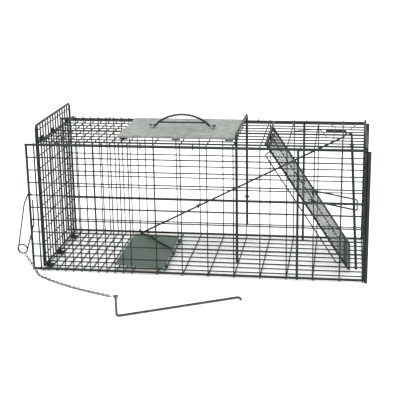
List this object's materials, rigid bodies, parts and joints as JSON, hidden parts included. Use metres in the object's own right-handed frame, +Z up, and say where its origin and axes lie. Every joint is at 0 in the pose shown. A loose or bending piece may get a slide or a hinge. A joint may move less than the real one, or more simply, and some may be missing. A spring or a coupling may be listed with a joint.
{
  "type": "live catch trap",
  "caption": "Wire-mesh live catch trap with a sloping drop door, treadle and trigger rod, lift-out rear door, guarded carry handle and chained lock pin.",
  "frame": {"origin": "centre of the cage's bounding box on the ground, measured without the chain and its pin", "axes": "+X towards the entrance end, -X towards the bait end, +Z up; the safety clip and chain are on the -Y side"},
  "size_m": [0.6933, 0.4693, 0.299],
  "materials": {
    "green_wire": "dark green dipped paint over welded mesh wire",
    "dark_rod": "dark green paint, satin",
    "ring_wire": "dark green paint on thin bent wire",
    "clip_sheet": "dark painted folded sheet",
    "green_sheet": "green hammered paint on sheet",
    "zinc_sheet": "dull galvanised sheet",
    "zinc_chain": "bright zinc-plated twisted links",
    "spring_wire": "dark grey-green wire, satin"
  },
  "bodies": {
    "cage": {"near_side_panel": "green_wire", "far_side_panel": "green_wire", "top_panel": "green_wire", "floor_panel": "green_wire", "near_front_post": "dark_rod", "far_front_post": "dark_rod", "side_uprights": "dark_rod", "near_rings": "ring_wire", "far_rings": "ring_wire", "rear_door_guides": "dark_rod", "rear_floor_clips": "clip_sheet", "rear_top_clips": "clip_sheet", "guard_plate": "zinc_sheet", "guard_tabs": "clip_sheet", "handle_lugs": "zinc_sheet", "stop_hoop": "dark_rod", "hoop_eyes": "ring_wire", "door_hinge_rod": "dark_rod", "door_hinge_loops": "ring_wire", "lock_rod_pivot": "dark_rod", "treadle_pivot_rod": "dark_rod", "trigger_guide": "ring_wire", "catch_wires": "ring_wire", "chain": "zinc_chain"},
    "carry_handle": {"carry_handle": "spring_wire"},
    "rear_door": {"rear_door_rim": "dark_rod", "rear_door_mesh": "green_wire"},
    "trap_door": {"door_rim": "dark_rod", "door_sheet": "green_sheet", "door_side_wires": "ring_wire", "door_foot_bar": "clip_sheet", "bail_lugs": "clip_sheet"},
    "lock_bail": {"lock_bail": "spring_wire"},
    "lock_rod": {"lock_rod": "dark_rod"},
    "treadle": {"treadle_plate": "green_sheet", "treadle_loops": "ring_wire", "treadle_arm": "dark_rod"},
    "trigger_rod": {"trigger_rod": "dark_rod"},
    "safety_clip": {"safety_clip": "spring_wire"},
    "lock_pin": {"lock_pin": "spring_wire"}
  },
  "joints": [
    {"name": "trap_door_hinge", "type": "hinge", "parent": "cage", "child": "trap_door", "pos_m": [0.14954, 0, 0.25568], "axis": [0, -1, 0], "range_deg": [0, 45]},
    {"name": "lock_bail_hinge", "type": "hinge", "parent": "trap_door", "child": "lock_bail", "pos_m": [0.23635, 0, 0.13442], "axis": [0, -1, 0], "range_deg": [-42, 0]},
    {"name": "lock_rod_hinge", "type": "hinge", "parent": "cage", "child": "lock_rod", "pos_m": [0.31073, 0, 0.26256], "axis": [0, -1, 0], "range_deg": [0, 35]},
    {"name": "rear_door_slide", "type": "slide", "parent": "cage", "child": "rear_door", "axis": [0, 0, 1], "range_m": [0, 0.24]},
    {"name": "treadle_hinge", "type": "hinge", "parent": "cage", "child": "treadle", "pos_m": [-0.04847, 0, 0.00693], "axis": [0, -1, 0], "range_deg": [0, 4.5], "stiffness_Nm_per_rad": 0.3},
    {"name": "trigger_slide", "type": "slide", "parent": "cage", "child": "trigger_rod", "axis": [-0.8892, 0, -0.4575], "range_m": [0, 0.0045]},
    {"name": "handle_hinge", "type": "hinge", "parent": "cage", "child": "carry_handle", "pos_m": [-0.02646, 0, 0.27478], "axis": [1, 0, 0], "range_deg": [-75, 75]},
    {"name": "safety_clip_swing", "type": "hinge", "parent": "cage", "child": "safety_clip", "pos_m": [-0.31346, -0.1245, 0], "axis": [0, 0, 1], "range_deg": [0, 20]},
    {"name": "lock_pin_swing", "type": "hinge", "parent": "cage", "child": "lock_pin", "pos_m": [-0.11682, -0.24774, 0], "axis": [0, 0, 1], "range_deg": [-25, 10]}
  ],
  "couplings": [
    {"joint": "lock_bail_hinge", "follows": "trap_door_hinge", "ratio": -0.9},
    {"joint": "trigger_slide", "follows": "treadle_hinge", "m_per_rad": 0.045}
  ]
}
